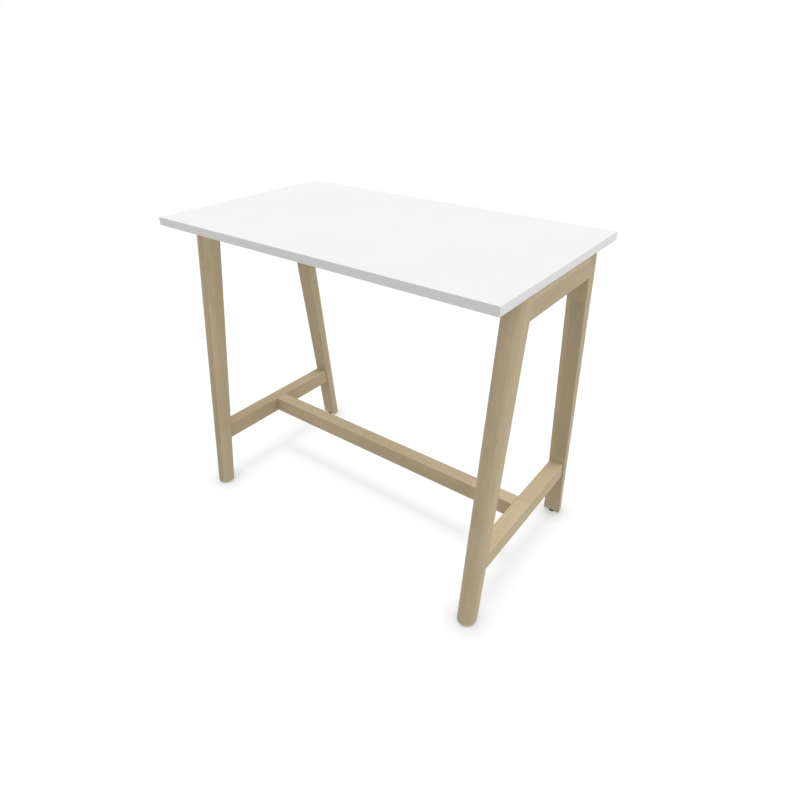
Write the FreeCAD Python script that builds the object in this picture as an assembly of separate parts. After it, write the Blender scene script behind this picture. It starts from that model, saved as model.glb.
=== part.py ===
import FreeCAD, Part
import os
from math import cos, radians, sin, sqrt
from FreeCAD import Vector

# A high table: a white board on two splayed wooden end frames that a low stretcher ties together.
# Millimetres, +Z up. The origin is on the floor under the middle of the top, +X is the right end
# and -Y is the front.

# Whole table
table_height = 1050.0
top_length = 1200.0
top_depth = 700.0
top_thickness = 25.0
# air between the top's underside and the wood of the end frames
shadow_gap = 7.0

# Edge bands round the board
band_thickness = 2.0
band_round = 1.0

# Legs: flat inner face, flat sides, half-round outer side. They lean in Y only.
leg_width = 58.4
leg_depth_at_top = 64.6
leg_depth_at_foot = 44.5
leg_inner_span_at_top = 348.3
leg_inner_span_at_foot = 596.0
leg_end_inset = 4.3
leg_edge_round = 2.0
leg_top_round = 3.0
leg_foot_chamfer = 1.0

# Rail under the top at each end, as wide as the legs. Its ends lap round the legs' eased edges.
rail_height = 64.0
rail_edge_round = 3.0
rail_end_lap = 1.2

# Low stretchers: one between the legs of each end frame, one along the table
stretcher_top_height = 250.0
stretcher_height = 57.0
side_stretcher_width = 48.8
long_stretcher_width = 48.0
stretcher_edge_round = 2.0

# Wooden dowels in the glued joints
dowel_diameter = 10.0
dowel_length = 60.0
rail_dowel_spacing = 30.0
side_dowel_spacing = 28.0
long_dowel_spacing = 28.0

# Stud, half-moon washer and nut that pull the long stretcher against the side stretchers
stud_diameter = 8.0
stud_depth = 30.0
stud_past_nut = 3.0
pocket_diameter = 35.0
pocket_wall = 33.0
pocket_above_stud = 14.0
washer_height = 24.0
washer_thickness = 8.0
nut_across_flats = 13.0
nut_thickness = 6.5

# Steel beams that carry the top between the end frames
beam_height = 40.0
beam_width = 30.0
beam_wall = 2.0
beam_corner_round = 3.5
beam_leg_gap = 20.0
plate_thickness = 5.0
plate_rail_margin = 7.0
plate_corner_round = 6.0

# Screws and threaded inserts that hold the beams to the rails
beam_screw_diameter = 6.0
beam_screw_head_diameter = 11.0
beam_screw_head_height = 4.0
beam_screw_margin = 13.0
beam_screw_beside_beam = 17.0
rail_insert_diameter = 10.0
rail_insert_length = 15.0

# Screws from the beams up into the board
top_screws_per_beam = 4
top_screw_diameter = 4.5
top_screw_head_diameter = 9.0
top_screw_head_height = 3.0
top_screw_grip = 16.0
top_screw_end_margin = 90.0
top_screw_access_diameter = 14.0

# Levelling glide under each leg, drawn fully screwed in
glide_pad_diameter = 20.0
glide_pad_height = 4.0
glide_pad_round = 0.8
glide_socket_depth = 2.5
glide_journal_diameter = 6.0
glide_collar_across_flats = 12.0
glide_collar_height = 2.0
glide_stem_diameter = 8.0
glide_stem_length = 34.0
glide_setback = -2.0
glide_insert_diameter = 12.0
glide_insert_length = 20.0

# Fits, all radial, and the spare depth at the bottom of a blind hole
fit_clearance = 0.1
running_clearance = 0.05
bolt_clearance = 0.3
blind_end_gap = 1.0
# how far a cutting shape runs past the face that it cuts
overrun = 5.0

# Heights and places that follow from the sizes above
top_underside = table_height - top_thickness
frame_top = top_underside - shadow_gap
leg_bottom = glide_pad_height + glide_collar_height
leg_x = top_length / 2 - leg_end_inset - leg_width / 2
rail_bottom = frame_top - rail_height
rail_middle = frame_top - rail_height / 2
rail_inner_x = leg_x - leg_width / 2
stretcher_bottom = stretcher_top_height - stretcher_height
stretcher_middle = stretcher_top_height - stretcher_height / 2
long_stretcher_end = leg_x - side_stretcher_width / 2
pocket_x = long_stretcher_end - pocket_wall - pocket_diameter / 2
washer_flat_x = pocket_x + pocket_diameter / 2 - washer_thickness
plate_inner_x = rail_inner_x - plate_thickness
plate_bottom = rail_bottom + plate_rail_margin
beam_screw_offset = beam_width / 2 + beam_screw_beside_beam
plate_width = 2 * (beam_screw_offset + beam_screw_margin)

along_x = Vector(1, 0, 0)
along_y = Vector(0, 1, 0)
up = Vector(0, 0, 1)

ends = {"left": -1, "right": 1}
sides = {"front": -1, "back": 1}
corners = {f"{y_name}_{x_name}": (x_side, y_side)
           for y_name, y_side in sides.items() for x_name, x_side in ends.items()}


def at_height(at_foot, at_top, z):
    return at_foot + (at_top - at_foot) * (z - leg_bottom) / (frame_top - leg_bottom)


def inner_half_span(z):
    return at_height(leg_inner_span_at_foot / 2, leg_inner_span_at_top / 2, z)


def leg_depth(z):
    return at_height(leg_depth_at_foot, leg_depth_at_top, z)


beam_y = inner_half_span(frame_top) - beam_leg_gap - plate_width / 2
glide_y = inner_half_span(leg_bottom) + glide_setback + glide_pad_diameter / 2


def rod(diameter, length, start, direction):
    return Part.makeCylinder(diameter / 2, length, start, direction)


def centred_rod(diameter, length, middle, direction):
    return rod(diameter, length, middle - direction * (length / 2), direction)


def hole(diameter, clearance, length, start, direction):
    return rod(diameter + 2 * clearance, length, start, direction)


def hexagon(across_flats, height, start, direction):
    corner_radius = across_flats / sqrt(3)
    turns = [radians(60 * step) for step in range(7)]
    points = [Vector(corner_radius * cos(turn), corner_radius * sin(turn), 0) for turn in turns]
    prism = Part.Face(Part.makePolygon(points)).extrude(up * height)
    prism.Placement = FreeCAD.Placement(start, FreeCAD.Rotation(up, direction))
    return prism


def rounded_box(low, high, direction, radius):
    size = high - low
    box = Part.makeBox(size.x, size.y, size.z, low)
    long_edges = [e for e in box.Edges if e.tangentAt(e.FirstParameter).cross(direction).Length < 0.5]
    return box.makeFillet(radius, long_edges)


def dowels_at(places, direction):
    return [centred_rod(dowel_diameter, dowel_length, place, direction) for place in places]


def dowel_holes_at(places, direction):
    length = dowel_length + 2 * blind_end_gap
    return [centred_rod(dowel_diameter + 2 * fit_clearance, length, place, direction) for place in places]


def leg_joint_places(x_side, y_side, middle, spacing):
    places = []
    for step in (-1, 1):
        z = middle + step * spacing / 2
        places.append(Vector(x_side * leg_x, y_side * inner_half_span(z), z))
    return places


def rail_dowel_places(x_side, y_side):
    return leg_joint_places(x_side, y_side, rail_middle, rail_dowel_spacing)


def side_dowel_places(x_side, y_side):
    return leg_joint_places(x_side, y_side, stretcher_middle, side_dowel_spacing)


def long_dowel_places(x_side):
    return [Vector(x_side * long_stretcher_end, step * long_dowel_spacing / 2, stretcher_middle)
            for step in (-1, 1)]


def leg_section(z, inset, x_side, y_side):
    # one closed outline of the leg at height z, drawn in by inset all round
    half = leg_width / 2 - inset
    inner = inner_half_span(z) + inset
    round_centre = inner_half_span(z) + leg_depth(z) - leg_width / 2
    diagonal = cos(radians(45))
    corner = half - leg_edge_round
    corner_bulge = corner + leg_edge_round * diagonal
    corner_rise = inner + leg_edge_round * (1 - diagonal)

    def place(u, v):
        return Vector(x_side * leg_x + u, y_side * v, z)

    def line(a, b):
        return Part.LineSegment(place(*a), place(*b)).toShape()

    def arc(a, b, c):
        return Part.Arc(place(*a), place(*b), place(*c)).toShape()

    crown = (0, round_centre + half)
    right_low = (half, inner + leg_edge_round)
    left_low = (-half, inner + leg_edge_round)
    return Part.Wire([
        line((-corner, inner), (corner, inner)),
        arc((corner, inner), (corner_bulge, corner_rise), right_low),
        line(right_low, (half, round_centre)),
        arc((half, round_centre), (half * diagonal, round_centre + half * diagonal), crown),
        arc(crown, (-half * diagonal, round_centre + half * diagonal), (-half, round_centre)),
        line((-half, round_centre), left_low),
        arc(left_low, (-corner_bulge, corner_rise), (-corner, inner)),
    ])


def glide_place(x_side, y_side, z):
    return Vector(x_side * leg_x, y_side * glide_y, z)


def leg_body(x_side, y_side):
    eased = leg_top_round * (1 - cos(radians(45)))
    stations = [
        (leg_bottom, leg_foot_chamfer),
        (leg_bottom + leg_foot_chamfer, 0),
        (frame_top - leg_top_round, 0),
        (frame_top - eased, eased),
        (frame_top, leg_top_round),
    ]
    return Part.makeLoft([leg_section(z, inset, x_side, y_side) for z, inset in stations], True, True)


def leg(x_side, y_side):
    body = leg_body(x_side, y_side)
    mouth = glide_place(x_side, y_side, leg_bottom)
    tools = dowel_holes_at(rail_dowel_places(x_side, y_side), along_y)
    tools += dowel_holes_at(side_dowel_places(x_side, y_side), along_y)
    tools.append(hole(glide_insert_diameter, fit_clearance, glide_insert_length, mouth, up))
    tools.append(hole(glide_stem_diameter, bolt_clearance, glide_stem_length + blind_end_gap, mouth, up))
    return body.cut(tools)


def between_legs(bar, lap):
    # the bar cut off at the slope of the legs' inner faces, or beyond them by the lap
    low = bar.BoundBox.ZMin - overrun
    high = bar.BoundBox.ZMax + overrun
    x = bar.BoundBox.XMin - overrun
    corners_seen = [(-1, low), (1, low), (1, high), (-1, high), (-1, low)]
    points = [Vector(x, y_side * (inner_half_span(z) + lap), z) for y_side, z in corners_seen]
    slab = Part.Face(Part.makePolygon(points)).extrude(along_x * (bar.BoundBox.XLength + 2 * overrun))
    return bar.common(slab)


def bar_across(x_side, width, bottom, height, radius, lap):
    reach = inner_half_span(bottom) + overrun
    low = Vector(x_side * leg_x - width / 2, -reach, bottom)
    high = Vector(x_side * leg_x + width / 2, reach, bottom + height)
    return between_legs(rounded_box(low, high, along_y, radius), lap)


def beam_screw_places(x_side):
    # on the rail's inner face, four round each beam end
    places = []
    for y_side in sides.values():
        for step in (-1, 1):
            for z in (plate_bottom + beam_screw_margin, frame_top - beam_screw_margin):
                places.append(Vector(x_side * rail_inner_x, y_side * beam_y + step * beam_screw_offset, z))
    return places


def upper_rail(x_side):
    bar = bar_across(x_side, leg_width, rail_bottom, rail_height, rail_edge_round, rail_end_lap)
    bar = bar.cut([leg_body(x_side, y_side) for y_side in sides.values()])
    outward = along_x * x_side
    depth = rail_insert_length + blind_end_gap
    tools = [hole(rail_insert_diameter, fit_clearance, depth, place, outward)
             for place in beam_screw_places(x_side)]
    for y_side in sides.values():
        tools += dowel_holes_at(rail_dowel_places(x_side, y_side), along_y)
    return bar.cut(tools)


def rail_insert(place, outward):
    sleeve = rod(rail_insert_diameter, rail_insert_length, place, outward)
    return sleeve.cut(hole(beam_screw_diameter, running_clearance, rail_insert_length, place, outward))


def beam_screw(place, outward):
    seat = place - outward * plate_thickness
    shank = rod(beam_screw_diameter, plate_thickness + rail_insert_length, seat, outward)
    return shank.fuse(rod(beam_screw_head_diameter, beam_screw_head_height, seat, outward * -1))


def side_stretcher(x_side):
    bar = bar_across(x_side, side_stretcher_width, stretcher_bottom, stretcher_height,
                     stretcher_edge_round, 0)
    inner_face = Vector(x_side * long_stretcher_end, 0, stretcher_middle)
    tools = [hole(stud_diameter, fit_clearance, stud_depth + blind_end_gap, inner_face, along_x * x_side)]
    tools += dowel_holes_at(long_dowel_places(x_side), along_x)
    for y_side in sides.values():
        tools += dowel_holes_at(side_dowel_places(x_side, y_side), along_y)
    return bar.cut(tools)


def long_stretcher():
    low = Vector(-long_stretcher_end, -long_stretcher_width / 2, stretcher_bottom)
    high = Vector(long_stretcher_end, long_stretcher_width / 2, stretcher_top_height)
    tools = []
    for x_side in ends.values():
        pocket_base = Vector(x_side * pocket_x, 0, stretcher_bottom - overrun)
        pocket_depth = stretcher_middle + pocket_above_stud - pocket_base.z
        tools.append(rod(pocket_diameter, pocket_depth, pocket_base, up))
        stud_way = Vector(x_side * pocket_x, 0, stretcher_middle)
        stud_run = long_stretcher_end - pocket_x + overrun
        tools.append(hole(stud_diameter, bolt_clearance, stud_run, stud_way, along_x * x_side))
        tools += dowel_holes_at(long_dowel_places(x_side), along_x)
    return rounded_box(low, high, along_x, stretcher_edge_round).cut(tools)


def stretcher_stud(x_side):
    tip_x = washer_flat_x - nut_thickness - stud_past_nut
    length = long_stretcher_end + stud_depth - tip_x
    return rod(stud_diameter, length, Vector(x_side * tip_x, 0, stretcher_middle), along_x * x_side)


def stretcher_washer(x_side):
    radius = pocket_diameter / 2 - fit_clearance
    base = Vector(x_side * pocket_x, 0, stretcher_middle - washer_height / 2)
    drum = Part.makeCylinder(radius, washer_height, base, up)
    kept = Part.makeBox(pocket_diameter, pocket_diameter, washer_height,
                        Vector(washer_flat_x, -pocket_diameter / 2, base.z))
    if x_side < 0:
        kept = kept.mirror(Vector(0, 0, 0), along_x)
    start = Vector(x_side * pocket_x, 0, stretcher_middle)
    stud_hole = hole(stud_diameter, bolt_clearance, pocket_diameter, start, along_x * x_side)
    return drum.common(kept).cut(stud_hole)


def stretcher_nut(x_side):
    seat = Vector(x_side * washer_flat_x, 0, stretcher_middle)
    inward = along_x * -x_side
    body = hexagon(nut_across_flats, nut_thickness, seat, inward)
    return body.cut(hole(stud_diameter, running_clearance, nut_thickness, seat, inward))


def top_screw_places(y_side):
    run = 2 * (plate_inner_x - top_screw_end_margin)
    pitch = run / (top_screws_per_beam - 1)
    return [Vector(step * pitch - run / 2, y_side * beam_y, top_underside)
            for step in range(top_screws_per_beam)]


def top_beam(y_side):
    low = Vector(-plate_inner_x, y_side * beam_y - beam_width / 2, top_underside - beam_height)
    high = Vector(plate_inner_x, y_side * beam_y + beam_width / 2, top_underside)
    wall = Vector(0, beam_wall, beam_wall)
    outer = rounded_box(low, high, along_x, beam_corner_round)
    tools = [rounded_box(low + wall, high - wall, along_x, beam_corner_round - beam_wall)]
    for place in top_screw_places(y_side):
        tools.append(hole(top_screw_diameter, bolt_clearance, beam_height / 2, place, up * -1))
        access = rod(top_screw_access_diameter, beam_height / 2, place - up * beam_height, up)
        tools.append(access)
    return outer.cut(tools)


def beam_end_plate(x_side, y_side):
    low = Vector(plate_inner_x, y_side * beam_y - plate_width / 2, plate_bottom)
    high = Vector(rail_inner_x, y_side * beam_y + plate_width / 2, top_underside)
    plate = rounded_box(low, high, along_x, plate_corner_round)
    if x_side < 0:
        plate = plate.mirror(Vector(0, 0, 0), along_x)
    tools = [hole(beam_screw_diameter, bolt_clearance, plate_thickness, place, along_x * -x_side)
             for place in beam_screw_places(x_side)]
    return plate.cut(tools)


def top_screw(place):
    seat = place - up * beam_wall
    shank = rod(top_screw_diameter, beam_wall + top_screw_grip, seat, up)
    return shank.fuse(rod(top_screw_head_diameter, top_screw_head_height, seat, up * -1))


def top_board():
    length = top_length - 2 * band_thickness
    depth = top_depth - 2 * band_thickness
    board = Part.makeBox(length, depth, top_thickness, Vector(-length / 2, -depth / 2, top_underside))
    tools = [hole(top_screw_diameter, fit_clearance, top_screw_grip + blind_end_gap, place, up)
             for y_side in sides.values() for place in top_screw_places(y_side)]
    return board.cut(tools)


def rounded_top_block():
    # the whole top with its outer edges eased, which the bands are cut from
    low = Vector(-top_length / 2, -top_depth / 2, top_underside)
    block = Part.makeBox(top_length, top_depth, top_thickness, low)
    return block.makeFillet(band_round, block.Edges)


def long_band(y_side):
    middle = y_side * (top_depth - band_thickness) / 2
    low = Vector(-top_length / 2, middle - band_thickness / 2, top_underside)
    return rounded_top_block().common(Part.makeBox(top_length, band_thickness, top_thickness, low))


def short_band(x_side):
    length = top_depth - 2 * band_thickness
    middle = x_side * (top_length - band_thickness) / 2
    low = Vector(middle - band_thickness / 2, -length / 2, top_underside)
    return rounded_top_block().common(Part.makeBox(band_thickness, length, top_thickness, low))


def glide_insert(x_side, y_side):
    mouth = glide_place(x_side, y_side, leg_bottom)
    sleeve = rod(glide_insert_diameter, glide_insert_length, mouth, up)
    return sleeve.cut(hole(glide_stem_diameter, running_clearance, glide_insert_length, mouth, up))


def glide_pad(x_side, y_side):
    base = glide_place(x_side, y_side, 0)
    disc = rod(glide_pad_diameter, glide_pad_height, base, up)
    rims = [e for e in disc.Edges if e.Closed]
    socket_floor = base + up * (glide_pad_height - glide_socket_depth)
    socket = hole(glide_journal_diameter, running_clearance, glide_socket_depth, socket_floor, up)
    return disc.makeFillet(glide_pad_round, rims).cut(socket)


def glide_stem(x_side, y_side):
    shoulder = glide_place(x_side, y_side, glide_pad_height)
    collar = hexagon(glide_collar_across_flats, glide_collar_height, shoulder, up)
    shank = rod(glide_stem_diameter, glide_stem_length, shoulder + up * glide_collar_height, up)
    journal = rod(glide_journal_diameter, glide_socket_depth, shoulder, up * -1)
    return collar.fuse([shank, journal]).removeSplitter()


def save(node, *solids):
    shape = solids[0] if len(solids) == 1 else Part.makeCompound(list(solids))
    shape.exportStep(f"parts/{node}.step")
    print(node, len(shape.Solids), round(shape.Volume), shape.isValid())


os.makedirs("parts", exist_ok=True)

save("top_board", top_board())
for y_name, y_side in sides.items():
    save(f"edge_band_{y_name}", long_band(y_side))
    save(f"top_beam_{y_name}", top_beam(y_side))
for x_name, x_side in ends.items():
    save(f"edge_band_{x_name}", short_band(x_side))
    save(f"upper_rail_{x_name}", upper_rail(x_side))
    save(f"side_stretcher_{x_name}", side_stretcher(x_side))
save("long_stretcher", long_stretcher())

for name, corner in corners.items():
    save(f"leg_{name}", leg(*corner))
    save(f"glide_stem_{name}", glide_stem(*corner))
    save(f"glide_pad_{name}", glide_pad(*corner))
save("glide_inserts", *[glide_insert(*corner) for corner in corners.values()])

rail_places = [place for corner in corners.values() for place in rail_dowel_places(*corner)]
side_places = [place for corner in corners.values() for place in side_dowel_places(*corner)]
long_places = [place for x_side in ends.values() for place in long_dowel_places(x_side)]
save("rail_dowels", *dowels_at(rail_places, along_y))
save("side_stretcher_dowels", *dowels_at(side_places, along_y))
save("long_stretcher_dowels", *dowels_at(long_places, along_x))

save("stretcher_studs", *[stretcher_stud(x_side) for x_side in ends.values()])
save("stretcher_washers", *[stretcher_washer(x_side) for x_side in ends.values()])
save("stretcher_nuts", *[stretcher_nut(x_side) for x_side in ends.values()])

save("beam_end_plates", *[beam_end_plate(*corner) for corner in corners.values()])
save("beam_screws", *[beam_screw(p, along_x * x) for x in ends.values() for p in beam_screw_places(x)])
save("rail_inserts", *[rail_insert(p, along_x * x) for x in ends.values() for p in beam_screw_places(x)])
save("top_screws", *[top_screw(place) for y in sides.values() for place in top_screw_places(y)])
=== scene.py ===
from math import copysign, cos, pi, radians, sin, sqrt

import bmesh
import bpy
from mathutils import Euler, Matrix, Vector


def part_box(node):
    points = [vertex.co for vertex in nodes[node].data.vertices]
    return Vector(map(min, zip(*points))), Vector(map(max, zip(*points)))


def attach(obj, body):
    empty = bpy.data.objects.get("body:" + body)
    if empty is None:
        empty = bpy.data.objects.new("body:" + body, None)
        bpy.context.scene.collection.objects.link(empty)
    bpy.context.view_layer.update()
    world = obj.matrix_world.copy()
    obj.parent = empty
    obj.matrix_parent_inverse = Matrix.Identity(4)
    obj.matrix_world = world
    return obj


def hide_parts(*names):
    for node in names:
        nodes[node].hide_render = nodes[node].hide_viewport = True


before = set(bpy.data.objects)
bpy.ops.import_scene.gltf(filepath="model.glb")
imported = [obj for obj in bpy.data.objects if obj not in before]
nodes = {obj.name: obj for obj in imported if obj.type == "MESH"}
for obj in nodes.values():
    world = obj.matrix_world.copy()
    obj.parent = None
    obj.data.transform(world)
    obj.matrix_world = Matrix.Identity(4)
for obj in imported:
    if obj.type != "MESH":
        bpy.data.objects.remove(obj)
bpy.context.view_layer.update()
corners = ["front_left", "front_right", "back_left", "back_right"]
scene = bpy.context.scene
scene.view_settings.view_transform = "Standard"
print("frame loaded,", len(nodes), "nodes")


class Wire:
    # a socket that can stand in a sum; all of a material's nodes are made through it
    def __init__(self, tree, socket=None):
        self.tree = tree
        self.socket = socket

    def node(self, kind, settings=None, inputs=None, out=0):
        made = self.tree.nodes.new("ShaderNode" + kind)
        for key, value in (settings or {}).items():
            setattr(made, key, value)
        for key, value in (inputs or {}).items():
            if isinstance(value, Wire):
                self.tree.links.new(value.socket, made.inputs[key])
            else:
                made.inputs[key].default_value = value
        return Wire(self.tree, made.outputs[out] if made.outputs else None)

    def out(self, name):
        return Wire(self.tree, self.socket.node.outputs[name])

    def math(self, operation, *values):
        return self.node("Math", {"operation": operation}, dict(enumerate(values)))

    def __add__(self, other):
        return self.math("ADD", self, other)

    def __radd__(self, other):
        return self.math("ADD", other, self)

    def __sub__(self, other):
        return self.math("SUBTRACT", self, other)

    def __rsub__(self, other):
        return self.math("SUBTRACT", other, self)

    def __mul__(self, other):
        return self.math("MULTIPLY", self, other)

    def __rmul__(self, other):
        return self.math("MULTIPLY", other, self)

    def __truediv__(self, other):
        return self.math("DIVIDE", self, other)

    def __rtruediv__(self, other):
        return self.math("DIVIDE", other, self)

    def __abs__(self):
        return self.math("ABSOLUTE", self)

    def floor(self):
        return self.math("FLOOR", self)

    def fade(self, start, end, low=0.0, high=1.0):
        # smooth step from low to high as the value goes from start to end
        return self.node("MapRange", {"interpolation_type": "SMOOTHSTEP"},
                         {"Value": self, 1: start, 2: end, 3: low, 4: high})

    def stretch(self, x, y, z):
        return self.node("VectorMath", {"operation": "MULTIPLY"}, {0: self, 1: (x, y, z)})

    def noise(self, seed, detail=2.0, roughness=0.5, scale=1.0):
        return self.node("TexNoise", {"noise_dimensions": "4D"},
                         {"Vector": self, "W": seed, "Scale": scale, "Detail": detail,
                          "Roughness": roughness})

    def blend(self, first, second):
        # self is the factor
        return self.node("Mix", {"data_type": "RGBA"}, {0: self, 6: first, 7: second}, 2)

    def bump(self, strength, distance):
        # self is the height
        return self.node("Bump", {}, {"Strength": strength, "Distance": distance, "Height": self})


def startMaterial(name):
    mat = bpy.data.materials.new(name)
    mat.use_nodes = True
    mat.node_tree.nodes.clear()
    return mat, Wire(mat.node_tree)


def finishMaterial(mat, shader):
    shader.node("OutputMaterial", {}, {"Surface": shader})
    return mat


# Pale wood, glued up from staves, grain along the piece. A share says how far a colour
# covers what is under it.
woodLook = {
    "light": (0.724, 0.606, 0.394, 1),
    "dark": (0.572, 0.466, 0.290, 1),
    "rosy": (0.643, 0.506, 0.332, 1),
    "rosyShare": 0.42,
    "ringShare": 0.45,
    "fibreShare": 0.22,
    "cloudShare": 0.36,
    "deep": (0.05, 0.04, 0.03, 1),
    "deepShare": 0.085,
    "fleck": (0.27, 0.19, 0.11, 1),
    "poreShare": 0.30,
    "knotShare": 0.55,
    "seam": (0.36, 0.28, 0.17, 1),
    "seamShare": 0.42,
    "stagger": 0.37,  # of a stave, from one strip's joints to the next one's
    "heartAway": 0.05,  # metres from the piece's middle to the tree's
    "heartSpread": (0.20, 0.14),
    "ringScale": 130,
    "ringWander": 0.014,
    "wanderScale": (2.2, 16, 16),  # along the grain, and twice across it
    "fibreScale": (11, 620, 620),
    "poreScale": (34, 1500, 1500),
    "cloudScale": (5.0, 30, 30),
    "knotScale": (60, 170, 170),
    "poreFade": (0.64, 0.74),  # where a fade starts and ends
    "knotFade": (0.815, 0.84),
    "seamFade": (0.0001, 0.0005),  # metres from the joint
    "endFade": (0.0002, 0.0008),
    # painted highlight: from here up a piece's upper edge is painted lighter, standing in for
    # light that reaches it under the top
    "paintedRimFade": (0.014, 0.032),  # metres above the piece's middle
    "bump": (0.28, 0.00025),  # strength and depth
    "roughness": 0.52,
    "gloss": 0.18,
}


def paleWood(name, centre, seed, turn, stripWidth, stripShift, staveLength, staveShift,
             level=1.0, stripToneAndPaintedLight=0.0, paintedLightDrift=0.0, rim=0.0):
    mat, start = startMaterial(name)
    shift = -(Euler(turn).to_matrix() @ Vector(centre))
    spot = start.node("TexCoord", out="Object")
    lay = start.node("Mapping", {}, {"Vector": spot, "Location": shift, "Rotation": turn})
    u = start.node("SeparateXYZ", {}, {0: lay})
    v, w = u.out("Y"), u.out("Z")

    # staves: strips across the piece, each cut into lengths
    across = (w - stripShift) / stripWidth
    strip = across.floor()
    run = (u - staveShift) / staveLength + strip * woodLook["stagger"]
    stave = run.floor()
    staveKey = start.node("CombineXYZ", {}, {0: stave, 1: strip, 2: seed})
    picks = start.node("TexWhiteNoise", {"noise_dimensions": "3D"}, {"Vector": staveKey}, "Color")
    pickA = start.node("SeparateColor", {}, {0: picks})
    pickB, pickC = pickA.out("Green"), pickA.out("Blue")

    # growth rings round a heart that each stave has in a place of its own
    spreadV, spreadW = woodLook["heartSpread"]
    wander = lay.stretch(*woodLook["wanderScale"]).noise(seed + 1.3)
    sideV = v - (pickA - 0.5) * spreadV - woodLook["heartAway"]
    sideW = w - (pickB - 0.5) * spreadW
    ringAt = start.math("SQRT", sideV * sideV + sideW * sideW) + wander * woodLook["ringWander"]
    ringSpot = start.node("CombineXYZ", {}, {0: u * 1.6, 1: ringAt * woodLook["ringScale"],
                                             2: stave * 5.1 + strip * 11.7})
    rings = ringSpot.noise(seed, detail=3.0, roughness=0.62)
    fibres = lay.stretch(*woodLook["fibreScale"]).noise(seed + 4.1)
    pores = lay.stretch(*woodLook["poreScale"]).noise(seed + 8.6, detail=1.0)
    pores = pores.fade(*woodLook["poreFade"])
    cloud = lay.stretch(*woodLook["cloudScale"]).noise(seed + 6.2, detail=3.0, roughness=0.6)
    knots = lay.stretch(*woodLook["knotScale"]).noise(seed + 2.9, detail=0.0)
    knots = knots.fade(*woodLook["knotFade"])

    tone = rings.fade(0.28, 0.74) * woodLook["ringShare"]
    tone = tone + fibres.fade(0.25, 0.75) * woodLook["fibreShare"]
    tone = tone + cloud.fade(0.25, 0.75) * woodLook["cloudShare"]
    colour = tone.blend(woodLook["light"], woodLook["dark"])
    colour = (pickC.fade(0.3, 1.0) * woodLook["rosyShare"]).blend(colour, woodLook["rosy"])
    colour = (pickB * woodLook["deepShare"]).blend(colour, woodLook["deep"])
    # Painted light: the lift steps the tone from strip to strip, which is stave tone and, on the
    # front left leg, painted light on the side that the top shades. The drift paints the wood
    # lighter along its length, against the top's shade. The rim is a painted highlight on the
    # upper edge.
    levelAndPaintedLight = level - strip * stripToneAndPaintedLight + u * paintedLightDrift
    levelAndPaintedLight = levelAndPaintedLight + w.fade(*woodLook["paintedRimFade"], 0.0, rim)
    colour = start.node("VectorMath", {"operation": "SCALE"}, {0: colour, "Scale": levelAndPaintedLight})
    colour = (pores * woodLook["poreShare"]).blend(colour, woodLook["fleck"])
    colour = (knots * woodLook["knotShare"]).blend(colour, woodLook["fleck"])

    # hairline glue seams between strips and at the ends of the staves
    acrossGap = abs(across - (across + 0.5).floor()) * stripWidth
    endGap = abs(run - (run + 0.5).floor()) * staveLength
    seam = start.math("MAXIMUM",
                      acrossGap.fade(*woodLook["seamFade"], 1.0, 0.0),
                      endGap.fade(*woodLook["endFade"], 1.0, 0.0))
    colour = (seam * woodLook["seamShare"]).blend(colour, woodLook["seam"])

    height = rings * 0.5 + fibres * 0.35 - pores * 0.6 - seam * 0.5
    rough = woodLook["roughness"] + (cloud - 0.5) * 0.14 + pores * 0.12 + rings * 0.05
    surface = start.node("BsdfPrincipled", {}, {
        "Base Color": colour, "Roughness": rough, "Normal": height.bump(*woodLook["bump"]),
        "Specular IOR Level": woodLook["gloss"]})
    return finishMaterial(mat, surface)


# White board, with a glue line where it meets its bands
boardLook = {
    "white": (0.925, 0.925, 0.921, 1),
    "warm": (0.912, 0.912, 0.906, 1),
    "dust": (0.62, 0.62, 0.61, 1),
    "dustShare": 0.10,
    "glueLine": (0.70, 0.69, 0.67, 1),
    "glueShare": 0.6,
    "cloudScale": 4.5,
    "pearlScale": 950,
    "dustScale": 2600,
    "dustFade": (0.66, 0.76),
    "glueFade": (0.0001, 0.0003),  # metres from the edge
    "bump": (0.10, 0.0002),
    "roughness": 0.44,
    "gloss": 0.35,
}


def whiteBoard(name):
    mat, start = startMaterial(name)
    spot = start.node("TexCoord", out="Object")
    x = start.node("SeparateXYZ", {}, {0: spot})
    y = x.out("Y")
    cloud = spot.noise(2.0, detail=3.0, roughness=0.55, scale=boardLook["cloudScale"])
    pearl = spot.noise(5.0, scale=boardLook["pearlScale"])
    dust = spot.noise(7.0, detail=1.0, scale=boardLook["dustScale"])
    dust = dust.fade(*boardLook["dustFade"])
    colour = cloud.fade(0.3, 0.7).blend(boardLook["white"], boardLook["warm"])
    colour = (dust * boardLook["dustShare"]).blend(colour, boardLook["dust"])
    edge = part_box("top_board")[1]
    toEdge = start.math("MINIMUM", edge.x - abs(x), edge.y - abs(y))
    glued = toEdge.fade(*boardLook["glueFade"], 1.0, 0.0) * boardLook["glueShare"]
    colour = glued.blend(colour, boardLook["glueLine"])
    rough = boardLook["roughness"] + (cloud - 0.5) * 0.10 + (pearl - 0.5) * 0.12
    surface = start.node("BsdfPrincipled", {}, {
        "Base Color": colour, "Roughness": rough, "Normal": pearl.bump(*boardLook["bump"]),
        "Specular IOR Level": boardLook["gloss"]})
    return finishMaterial(mat, surface)


# Edge bands, with faint lines drawn along them
bandLook = {
    "white": (0.935, 0.935, 0.931, 1),
    "warm": (0.915, 0.914, 0.908, 1),
    "line": (0.80, 0.80, 0.79, 1),
    "lineShare": 0.12,
    "alongScale": 6,
    "acrossScale": 900,
    "cloudScale": 14,
    "grainScale": 1400,
    "lineFade": (0.55, 0.75),
    "bump": (0.12, 0.0002),
    "roughness": 0.40,
    "gloss": 0.4,
}


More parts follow.
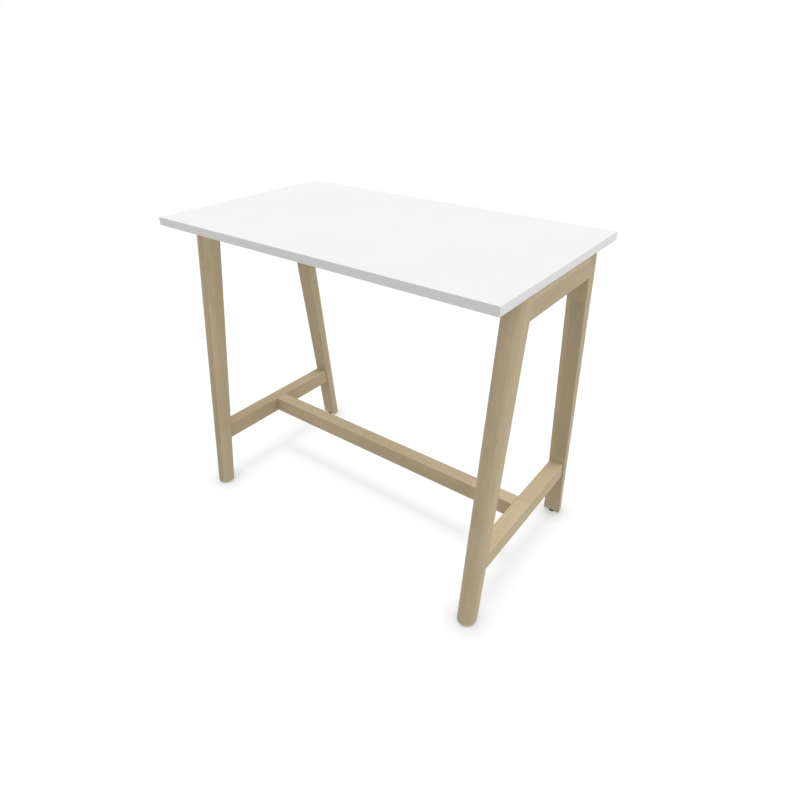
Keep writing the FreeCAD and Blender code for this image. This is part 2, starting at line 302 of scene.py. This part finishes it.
def whiteBand(name, xScale, yScale):
    mat, start = startMaterial(name)
    spot = start.node("TexCoord", out="Object")
    cloud = spot.noise(3.0, scale=bandLook["cloudScale"])
    drawn = spot.stretch(xScale, yScale, bandLook["acrossScale"]).noise(4.0)
    grain = spot.noise(9.0, detail=1.0, scale=bandLook["grainScale"])
    colour = cloud.fade(0.3, 0.7).blend(bandLook["white"], bandLook["warm"])
    lines = drawn.fade(*bandLook["lineFade"]) * bandLook["lineShare"]
    colour = lines.blend(colour, bandLook["line"])
    height = drawn * 0.7 + grain * 0.3
    rough = bandLook["roughness"] + (drawn - 0.5) * 0.16 + (grain - 0.5) * 0.08
    surface = start.node("BsdfPrincipled", {}, {
        "Base Color": colour, "Roughness": rough, "Normal": height.bump(*bandLook["bump"]),
        "Specular IOR Level": bandLook["gloss"]})
    return finishMaterial(mat, surface)


# Powder coat of the beams and their end plates
coatLook = {
    "white": (0.83, 0.83, 0.825, 1),
    "grey": (0.79, 0.79, 0.78, 1),
    "speck": (0.55, 0.55, 0.54, 1),
    "speckShare": 0.25,
    "cloudScale": 11,
    "peelScale": 720,
    "speckScale": 1900,
    "speckFade": (0.68, 0.76),
    "bump": (0.30, 0.0003),
    "roughness": 0.42,
}


def powderCoat(name):
    mat, start = startMaterial(name)
    spot = start.node("TexCoord", out="Object")
    peel = spot.noise(1.0, scale=coatLook["peelScale"])
    cloud = spot.noise(3.0, scale=coatLook["cloudScale"])
    speck = spot.noise(6.0, detail=0.0, scale=coatLook["speckScale"])
    speck = speck.fade(*coatLook["speckFade"])
    colour = cloud.fade(0.3, 0.7).blend(coatLook["white"], coatLook["grey"])
    colour = (speck * coatLook["speckShare"]).blend(colour, coatLook["speck"])
    rough = coatLook["roughness"] + (peel - 0.5) * 0.20 + (cloud - 0.5) * 0.08
    surface = start.node("BsdfPrincipled", {}, {
        "Base Color": colour, "Roughness": rough, "Normal": peel.bump(*coatLook["bump"])})
    return finishMaterial(mat, surface)


# Steel: zinc plate on the hardware, black on the glides' stems
steelLook = {
    "zincBright": (0.62, 0.63, 0.64, 1),
    "zincDull": (0.48, 0.49, 0.51, 1),
    "zincRoughness": 0.36,
    "blackBright": (0.030, 0.030, 0.032, 1),
    "blackDull": (0.055, 0.054, 0.053, 1),
    "blackRoughness": 0.42,
    "scratch": (0.30, 0.30, 0.31, 1),
    "scratchShare": 0.25,
    "scratchScale": (300, 2600, 2600),
    "scratchFade": (0.62, 0.74),
    "bloomScale": 160,
    "bump": (0.12, 0.0001),
}


def platedSteel(name, finish):
    mat, start = startMaterial(name)
    spot = start.node("TexCoord", out="Object")
    bloom = spot.noise(2.0, detail=3.0, roughness=0.6, scale=steelLook["bloomScale"])
    scratch = spot.stretch(*steelLook["scratchScale"]).noise(5.0)
    colour = bloom.fade(0.30, 0.70).blend(steelLook[finish + "Bright"], steelLook[finish + "Dull"])
    scratched = scratch.fade(*steelLook["scratchFade"]) * steelLook["scratchShare"]
    colour = scratched.blend(colour, steelLook["scratch"])
    rough = steelLook[finish + "Roughness"] + (bloom - 0.5) * 0.20 + (scratch - 0.5) * 0.12
    surface = start.node("BsdfPrincipled", {}, {
        "Base Color": colour, "Roughness": rough, "Metallic": 1.0,
        "Normal": scratch.bump(*steelLook["bump"])})
    return finishMaterial(mat, surface)


# Black plastic of the pads
plasticLook = {
    "black": (0.010, 0.010, 0.011, 1),
    "scuffed": (0.024, 0.024, 0.025, 1),
    "grainScale": 2200,
    "scuffScale": 260,
    "scuffFade": (0.55, 0.75),
    "bump": (0.35, 0.0001),
    "roughness": 0.46,
    "gloss": 0.4,
}


def mouldedBlack(name):
    mat, start = startMaterial(name)
    spot = start.node("TexCoord", out="Object")
    grain = spot.noise(2.0, scale=plasticLook["grainScale"])
    scuff = spot.noise(4.0, detail=3.0, roughness=0.6, scale=plasticLook["scuffScale"])
    scuff = scuff.fade(*plasticLook["scuffFade"])
    colour = scuff.blend(plasticLook["black"], plasticLook["scuffed"])
    rough = plasticLook["roughness"] + scuff * 0.16 + (grain - 0.5) * 0.12
    surface = start.node("BsdfPrincipled", {}, {
        "Base Color": colour, "Roughness": rough, "Normal": grain.bump(*plasticLook["bump"]),
        "Specular IOR Level": plasticLook["gloss"]})
    return finishMaterial(mat, surface)


def dress(nodeName, mat):
    for holder in nodes[nodeName].material_slots:
        holder.material = mat


# Wooden pieces. The turn lays a piece's length along the pattern's first axis. Level is
# how light the wood is. The lift is how much lighter each strip is than the next one: stave
# tone, and painted light on the front left leg's side that the top shades. The drift is how
# much lighter it gets per metre of length, painted light on the front left leg's upper part,
# which the top shades. The rim is a painted highlight: how much lighter the upper edge is.
legLean = radians(6.42)
frontLeg = (legLean, pi / 2, 0)
backLeg = (-legLean, pi / 2, 0)
alongX = (0, 0, 0)
alongY = (0, 0, -pi / 2)
woodPieces = {
    # front left leg: its strip lift and drift are painted light, lightening its right side and
    # upper part where the top shades them
    "leg_front_left": dict(turn=frontLeg, stripWidth=0.0438, stripShift=-0.0146,
                           staveLength=0.249, staveShift=0.138,
                           level=0.945, stripToneAndPaintedLight=0.177, paintedLightDrift=0.20),
    "leg_front_right": dict(turn=frontLeg, stripWidth=0.0438, stripShift=-0.0146,
                            staveLength=0.266, staveShift=0.1196, level=0.985),
    "leg_back_left": dict(turn=backLeg, stripWidth=0.040, stripShift=-0.0115,
                          staveLength=0.280, staveShift=0.110),
    "leg_back_right": dict(turn=backLeg, stripWidth=0.040, stripShift=0.0125,
                           staveLength=0.300, staveShift=-0.040, stripToneAndPaintedLight=-0.06),
    # rails: the rim is a painted highlight along the upper edge, for light that reaches it under
    # the top
    "upper_rail_left": dict(turn=alongY, stripWidth=0.062, stripShift=0.031,
                            staveLength=0.46, staveShift=0.15, level=0.87, rim=0.22),
    "upper_rail_right": dict(turn=alongY, stripWidth=0.062, stripShift=0.031,
                             staveLength=0.46, staveShift=-0.22, level=0.87, rim=0.22),
    "side_stretcher_left": dict(turn=alongY, stripWidth=0.060, stripShift=0.030,
                                staveLength=0.40, staveShift=0.08, level=0.98),
    "side_stretcher_right": dict(turn=alongY, stripWidth=0.060, stripShift=0.030,
                                 staveLength=0.40, staveShift=-0.14, level=0.96),
    "long_stretcher": dict(turn=alongX, stripWidth=0.060, stripShift=0.030,
                           staveLength=0.48, staveShift=0.21),
}
for number, (nodeName, staves) in enumerate(woodPieces.items()):
    low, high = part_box(nodeName)
    seed = 1.0 + number * 2.0
    dress(nodeName, paleWood("wood_" + nodeName, (low + high) / 2, seed, **staves))

# dowels, hidden in their joints
dowelTurns = {
    "rail_dowels": alongY,
    "side_stretcher_dowels": alongY,
    "long_stretcher_dowels": alongX,
}
for nodeName, turn in dowelTurns.items():
    dress(nodeName, paleWood("wood_" + nodeName, centre=(0, 0, 0), seed=40.0, turn=turn,
                             stripWidth=0.5, stripShift=0.25, staveLength=0.5, staveShift=0.25))
print("wood dressed:", len(woodPieces), "pieces and the dowels")

dress("top_board", whiteBoard("board_white"))
along, across = bandLook["alongScale"], bandLook["acrossScale"]
for side in ("front", "back"):
    dress("edge_band_" + side, whiteBand("band_" + side, along, across))
for side in ("left", "right"):
    dress("edge_band_" + side, whiteBand("band_" + side, across, along))
coat = powderCoat("powder_coat_white")
for nodeName in ("top_beam_front", "top_beam_back", "beam_end_plates"):
    dress(nodeName, coat)
zinc = platedSteel("zinc_plate", "zinc")
for nodeName in ("glide_inserts", "stretcher_washers", "rail_inserts"):
    dress(nodeName, zinc)
blackSteel = platedSteel("black_steel", "black")
plastic = mouldedBlack("moulded_black")
print("top and steel dressed")


mergeWithin = 1e-6
roundSides, hexSides = 24, 6


# Small turned and hexagonal parts, stacked up from loops: sides, radius and height of each.
# The loops are bridged at even steps and then moved to their heights. A hollow part ends
# at its first loop again.
def stack(stations, segments=roundSides, hollow=False):
    bm = bmesh.new()
    evenStep = 0.01
    if hollow:
        stations = stations + stations[:1]
    loops, moves = [], []
    for step, (sides, radius, height) in enumerate(stations):
        known = set(bm.edges)
        bmesh.ops.create_circle(bm, segments=sides, radius=radius,
                                matrix=Matrix.Translation((0, 0, step * evenStep)))
        if sides < segments:
            bmesh.ops.subdivide_edges(bm, edges=[e for e in bm.edges if e not in known],
                                      cuts=segments // sides - 1)
        loops.append([e for e in bm.edges if e not in known])
        moves.append(height - step * evenStep)
    for lower, upper in zip(loops, loops[1:]):
        bmesh.ops.bridge_loops(bm, edges=lower + upper)
    for loop, move in zip(loops, moves):
        ring = list({v for e in loop for v in e.verts})
        bmesh.ops.translate(bm, verts=ring, vec=(0, 0, move))
    if hollow:
        bmesh.ops.remove_doubles(bm, verts=bm.verts, dist=mergeWithin)
    else:
        for loop in (loops[0], loops[-1]):
            bmesh.ops.contextual_create(bm, geom=loop)
    bmesh.ops.recalc_face_normals(bm, faces=bm.faces)
    return bm


# Form of a thread, in pitches
threadForm = {
    "depth": 0.6,
    "rootEnd": 0.12,
    "crestStart": 0.5,
    "crestEnd": 0.62,
}


def threadedRod(radius, pitch, length, steps=20):
    bm = bmesh.new()
    root = radius - threadForm["depth"] * pitch
    # one turn in outline: radius, and height in pitches
    oneTurn = [(root, 0), (root, threadForm["rootEnd"]), (radius, threadForm["crestStart"]),
               (radius, threadForm["crestEnd"]), (root, 1)]
    outline = [bm.verts.new((away, 0, pitch * rise)) for away, rise in oneTurn]
    edges = [bm.edges.new(pair) for pair in zip(outline, outline[1:])]
    turns = int(length / pitch) + 3
    bmesh.ops.spin(bm, geom=outline + edges, cent=(0, 0, 0), axis=(0, 0, 1),
                   dvec=(0, 0, pitch / steps), angle=2 * pi * turns, steps=steps * turns)
    bmesh.ops.remove_doubles(bm, verts=bm.verts, dist=mergeWithin)
    # both ends are cut off square and closed
    trim = 1.5 * pitch
    for height, way in ((trim, -1), (trim + length, 1)):
        cut = bmesh.ops.bisect_plane(bm, geom=bm.verts[:] + bm.edges[:] + bm.faces[:],
                                     plane_co=(0, 0, height), plane_no=(0, 0, way),
                                     clear_outer=True)
        rim = [e for e in cut["geom_cut"] if isinstance(e, bmesh.types.BMEdge)]
        bmesh.ops.contextual_create(bm, geom=rim)
    bmesh.ops.translate(bm, verts=bm.verts, vec=(0, 0, -trim))
    bmesh.ops.recalc_face_normals(bm, faces=bm.faces)
    return bm


sharpAngle = radians(32)


def gather(name, parts, mat, body, replaced):
    # parts: (bmesh, places) pairs; every place is a matrix
    whole = bmesh.new()
    for part, places in parts:
        shape = bpy.data.meshes.new("shape")
        part.to_mesh(shape)
        part.free()
        for place in places:
            known = set(whole.verts)
            whole.from_mesh(shape)
            fresh = [v for v in whole.verts if v not in known]
            bmesh.ops.transform(whole, matrix=place, verts=fresh)
        bpy.data.meshes.remove(shape)
    for face in whole.faces:
        face.smooth = True
    mesh = bpy.data.meshes.new(name)
    whole.to_mesh(mesh)
    whole.free()
    mesh.set_sharp_from_angle(angle=sharpAngle)
    mesh.materials.append(mat)
    piece = bpy.data.objects.new(name, mesh)
    scene.collection.objects.link(piece)
    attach(piece, body)
    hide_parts(replaced)


def facing(direction, place):
    turn = Vector(direction).to_track_quat("Z", "Y").to_matrix().to_4x4()
    return Matrix.Translation(place) @ turn


# Levelling glides: pad with a rim and a hollow underside, hexagon collar and M8 thread.
# The pad's outline goes from its hollow round its side to the groove in its upper face:
# share of the radius, and height.
glide = {
    "padRadius": 0.0100,
    "padHeight": 0.0040,
    "padSegments": 48,
    "padOutline": [(0.60, 0.0005), (0.66, 0.0), (0.88, 0.0), (0.96, 0.00025),
                   (1.0, 0.0009), (1.0, 0.0026), (0.985, 0.0032), (0.93, 0.0037),
                   (0.84, 0.0040), (0.72, 0.0040), (0.70, 0.0037), (0.60, 0.0037), (0.58, 0.0040)],
    "socketRadius": 0.00305,
    "socketFloor": 0.0015,
    "neckRadius": 0.0030,
    "collarCorner": 0.012 / sqrt(3),
    "collarRound": 0.0057,
    "collarChamfer": 0.0004,
    "collarTop": 0.0060,
    "threadRadius": 0.0040,
    "pitch": 0.00125,
    "threadLength": 0.034,
}
r, top, segments = glide["padRadius"], glide["padHeight"], glide["padSegments"]
padStations = [(segments, r * share, height) for share, height in glide["padOutline"]]
padStations += [(segments, glide["socketRadius"], top),
                (segments, glide["socketRadius"], glide["socketFloor"])]
collarTop, chamfer = glide["collarTop"], glide["collarChamfer"]
stemStations = [(roundSides, glide["neckRadius"], glide["socketFloor"]),
                (roundSides, glide["neckRadius"], top),
                (roundSides, glide["collarRound"], top),
                (hexSides, glide["collarCorner"], top + chamfer),
                (hexSides, glide["collarCorner"], collarTop - chamfer),
                (roundSides, glide["collarRound"], collarTop)]
thread = threadedRod(glide["threadRadius"], glide["pitch"], glide["threadLength"])
for corner in corners:
    low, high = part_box("glide_pad_" + corner)
    place = Matrix.Translation(((low.x + high.x) / 2, (low.y + high.y) / 2, 0))
    onCollar = place @ Matrix.Translation((0, 0, collarTop))
    gather("pad_" + corner, [(stack(padStations, segments), [place])], plastic,
           corner + "_pad", "glide_pad_" + corner)
    gather("stem_" + corner, [(stack(stemStations), [place]), (thread.copy(), [onCollar])],
           blackSteel, corner + "_stem", "glide_stem_" + corner)
thread.free()
print("glides made")

# Button-head screws, four round each beam end
beamScrew = {
    "radius": 0.0030,
    "length": 0.020,
    "headRadius": 0.0055,
    "headHeight": 0.0040,
    "socketCorner": 0.004 / sqrt(3),
    "socketDepth": 0.0022,
    "besideBeam": 0.032,
    "inFromEnds": 0.013,
    "plateThickness": 0.005,
}
# Form that both kinds of screw share: the tip in shares of the shank's radius, the
# head's outline in shares of its radius and height
screwForm = {
    "tipRadius": 0.72,
    "tipLength": 0.5,
    "headOutline": [(0.97, 0.0), (1.0, 0.10), (1.0, 0.30), (0.93, 0.58), (0.79, 0.82),
                    (0.60, 0.97), (0.52, 1.0)],
    "socketLead": 0.00015,
    "drillRadius": 0.4,  # of the socket's corner radius
    "drillDepth": 0.0003,
}


def buttonScrew(size):
    r, length = size["radius"], size["length"]
    head, tall = size["headRadius"], size["headHeight"]
    corner, floor = size["socketCorner"], tall - size["socketDepth"]
    shank = [(roundSides, r * screwForm["tipRadius"], -length),
             (roundSides, r, r * screwForm["tipLength"] - length),
             (roundSides, r, 0)]
    button = [(roundSides, head * out, tall * up) for out, up in screwForm["headOutline"]]
    # hexagon socket with a drill point
    socket = [(hexSides, corner, tall - screwForm["socketLead"]),
              (hexSides, corner, floor),
              (roundSides, corner * screwForm["drillRadius"], floor - screwForm["drillDepth"])]
    return stack(shank + button + socket)


plateLow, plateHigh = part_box("beam_end_plates")
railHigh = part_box("upper_rail_right")[1]
beamLow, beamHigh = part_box("top_beam_back")
seatX = plateHigh.x - beamScrew["plateThickness"]
beamY = (beamLow.y + beamHigh.y) / 2
screwRows = (plateLow.z + beamScrew["inFromEnds"], railHigh.z - beamScrew["inFromEnds"])
places = [facing((-end, 0, 0), (end * seatX, side * beamY + step * beamScrew["besideBeam"], z))
          for end in (-1, 1) for side in (-1, 1) for step in (-1, 1) for z in screwRows]
gather("beam_screws_detailed", [(buttonScrew(beamScrew), places)], zinc,
       "table", "beam_screws")

# Screws up into the board, seen through the holes in the beams' undersides
topScrew = {
    "radius": 0.00225,
    "length": 0.018,
    "headRadius": 0.0045,
    "headHeight": 0.0030,
    "socketCorner": 0.003 / sqrt(3),
    "socketDepth": 0.0018,
    "perBeam": 4,
    "beamWall": 0.002,
}
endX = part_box("top_screws")[1].x - topScrew["headRadius"]
seatZ = beamHigh.z - topScrew["beamWall"]
spacing = 2 * endX / (topScrew["perBeam"] - 1)
places = [facing((0, 0, -1), (-endX + spacing * step, side * beamY, seatZ))
          for side in (-1, 1) for step in range(topScrew["perBeam"])]
gather("top_screws_detailed", [(buttonScrew(topScrew), places)], zinc,
       "table", "top_screws")

# Studs and nuts that draw the long stretcher against the side stretchers
tie = {
    "radius": 0.0040,
    "pitch": 0.00125,
    "length": 0.0805,
    "nutBore": 0.00405,
    "boreChamfer": 0.0004,
    "nutCorner": 0.013 / sqrt(3),
    "cornerChamfer": 0.0006,
    "nutRound": 0.0061,
    "nutHeight": 0.0065,
}
studLow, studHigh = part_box("stretcher_studs")
studZ = (studLow.z + studHigh.z) / 2
places = [facing((end, 0, 0), (end * (studHigh.x - tie["length"]), 0, studZ)) for end in (-1, 1)]
stud = threadedRod(tie["radius"], tie["pitch"], tie["length"])
gather("stretcher_studs_threaded", [(stud, places)], zinc, "table", "stretcher_studs")

bore, lead, tall = tie["nutBore"], tie["boreChamfer"], tie["nutHeight"]
nut = stack([(roundSides, bore, lead),
             (roundSides, bore + lead, 0),
             (roundSides, tie["nutRound"], 0),
             (hexSides, tie["nutCorner"], tie["cornerChamfer"]),
             (hexSides, tie["nutCorner"], tall - tie["cornerChamfer"]),
             (roundSides, tie["nutRound"], tall),
             (roundSides, bore + lead, tall),
             (roundSides, bore, tall - lead)], hollow=True)
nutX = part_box("stretcher_nuts")[1].x
places = [facing((-end, 0, 0), (end * nutX, 0, studZ)) for end in (-1, 1)]
gather("stretcher_nuts_chamfered", [(nut, places)], zinc, "table", "stretcher_nuts")
print("screws, studs and nuts made")


# Studio: white floor, even sky and three soft lamps. The side lamp lights the table, the
# fill lamp lights the wood and is not blocked by the top, and the floor lamp gives the
# floor the soft shadows of the legs and stretchers.
studio = {
    "floorHalf": 30.0,
    "floorDrop": 0.0003,
    "floorGlow": 0.767,
    "floorWhite": 0.16,
    # painted shadow round the feet: how far the occlusion reaches, its darkest tone and its
    # samples
    "paintedShadowReach": 0.066,
    "paintedShadowTone": (0.32, 0.32, 0.32, 1),
    "paintedShadowSamples": 8,
    "floorBounce": 0.44,
    "sky": 0.635,
    "lampDistance": 3.0,
    "sideFrom": (1.0, 0.42, 2.05),
    "sideSpread": radians(60),
    "sidePower": 1.24,
    "fillFrom": (0.3, 0.0, 2.0),
    "fillSpread": radians(30),
    "fillPower": 0.24,
    "floorLampFrom": (0, 0, 1),
    "floorLampSpread": radians(22),
    "floorLampPower": 3.14,
}
plainWhite = (1, 1, 1, 1)


def seenDirectly(start):
    # by the camera, or in gloss or through glass
    rays = start.node("LightPath", out="Is Camera Ray")
    seen = rays + rays.out("Is Glossy Ray") + rays.out("Is Transmission Ray")
    return start.math("MINIMUM", seen, 1.0)


mat, start = startMaterial("studio_floor")
# painted shadow: the floor's glow is darkened by occlusion, a soft dark ring where a foot stands
paintedShadowMask = start.node("AmbientOcclusion", {"samples": studio["paintedShadowSamples"]},
                  {"Distance": studio["paintedShadowReach"]}, "AO")
tone = paintedShadowMask.blend(studio["paintedShadowTone"], plainWhite)
glow = start.node("Emission", {}, {"Color": tone, "Strength": studio["floorGlow"]})
pale = start.node("BsdfDiffuse", {}, {"Color": (studio["floorWhite"],) * 3 + (1,)})
seen = start.node("AddShader", {}, {0: glow, 1: pale})
bounce = start.node("Emission", {}, {"Color": plainWhite, "Strength": studio["floorBounce"]})
topSide = start.node("MixShader", {}, {0: seenDirectly(start), 1: bounce, 2: seen})
# clear from below, so that the table's underside can be looked at
behind = start.node("NewGeometry", out="Backfacing")
clear = start.node("BsdfTransparent")
floorMat = finishMaterial(mat, start.node("MixShader", {}, {0: behind, 1: topSide, 2: clear}))
# so wide a glow is found well enough by bounced rays, without aiming at it
floorMat.cycles.emission_sampling = "NONE"

# the floor lies in four quarters, each under its corner's pad, so that it stays below
# a glide that is let down
floorTiles = []
half = studio["floorHalf"] / 2
for corner in corners:
    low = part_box("glide_pad_" + corner)[0]
    tileMesh = bpy.data.meshes.new("studio_floor_" + corner)
    bm = bmesh.new()
    bmesh.ops.create_grid(bm, x_segments=1, y_segments=1, size=half)
    bmesh.ops.translate(bm, verts=bm.verts,
                        vec=(copysign(half, low.x), copysign(half, low.y), -studio["floorDrop"]))
    bm.to_mesh(tileMesh)
    bm.free()
    tileMesh.materials.append(floorMat)
    tile = bpy.data.objects.new("studio_floor_" + corner, tileMesh)
    scene.collection.objects.link(tile)
    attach(tile, corner + "_pad")
    floorTiles.append(tile)

world = bpy.data.worlds.new("studio_sky")
scene.world = world
world.use_nodes = True
world.node_tree.nodes.clear()
start = Wire(world.node_tree)
sky = start.node("Background", {}, {"Color": plainWhite, "Strength": studio["sky"]})
white = start.node("Background", {}, {"Color": plainWhite, "Strength": 1.0})
mixed = start.node("MixShader", {}, {0: seenDirectly(start), 1: sky, 2: white})
start.node("OutputWorld", {}, {"Surface": mixed})


def sunLamp(name, power, spread, lampFrom, lit, casters):
    lamp = bpy.data.lights.new(name, "SUN")
    lamp.energy = power
    lamp.angle = spread
    lampObject = bpy.data.objects.new(name, lamp)
    lampObject.location = Vector(lampFrom).normalized() * studio["lampDistance"]
    lampObject.rotation_euler = Vector(lampFrom).to_track_quat("Z", "Y").to_euler()
    scene.collection.objects.link(lampObject)
    linking = lampObject.light_linking
    linking.receiver_collection = bpy.data.collections.new(name + "_lights")
    linking.blocker_collection = bpy.data.collections.new(name + "_shadows")
    for obj in lit:
        linking.receiver_collection.objects.link(obj)
    for obj in casters:
        linking.blocker_collection.objects.link(obj)


table = [obj for obj in scene.objects if obj.type == "MESH" and obj not in floorTiles]
wood = [nodes[nodeName] for nodeName in woodPieces]
standingNames = ("leg_", "pad_", "side_stretcher_", "long_stretcher")
standing = [obj for obj in table if obj.name.startswith(standingNames)]
sunLamp("side_lamp", studio["sidePower"], studio["sideSpread"], studio["sideFrom"], table, table)
sunLamp("fill_lamp", studio["fillPower"], studio["fillSpread"], studio["fillFrom"], wood, wood)
sunLamp("floor_lamp", studio["floorLampPower"], studio["floorLampSpread"],
        studio["floorLampFrom"], floorTiles, standing)

# Camera at the photograph's place
cameraSet = {
    "place": (1.11666, -1.38669, 1.52398),
    "azimuth": radians(36.867),
    "elevation": radians(31.594),
    "lens": 26.478,
}
cameraData = bpy.data.cameras.new("camera")
cameraData.lens = cameraSet["lens"]
camera = bpy.data.objects.new("camera", cameraData)
back = Vector((sin(cameraSet["azimuth"]) * cos(cameraSet["elevation"]),
               -cos(cameraSet["azimuth"]) * cos(cameraSet["elevation"]),
               sin(cameraSet["elevation"])))
camera.location = cameraSet["place"]
camera.rotation_euler = (-back).to_track_quat("-Z", "Y").to_euler()
scene.collection.objects.link(camera)
scene.camera = camera
print("studio and camera set")
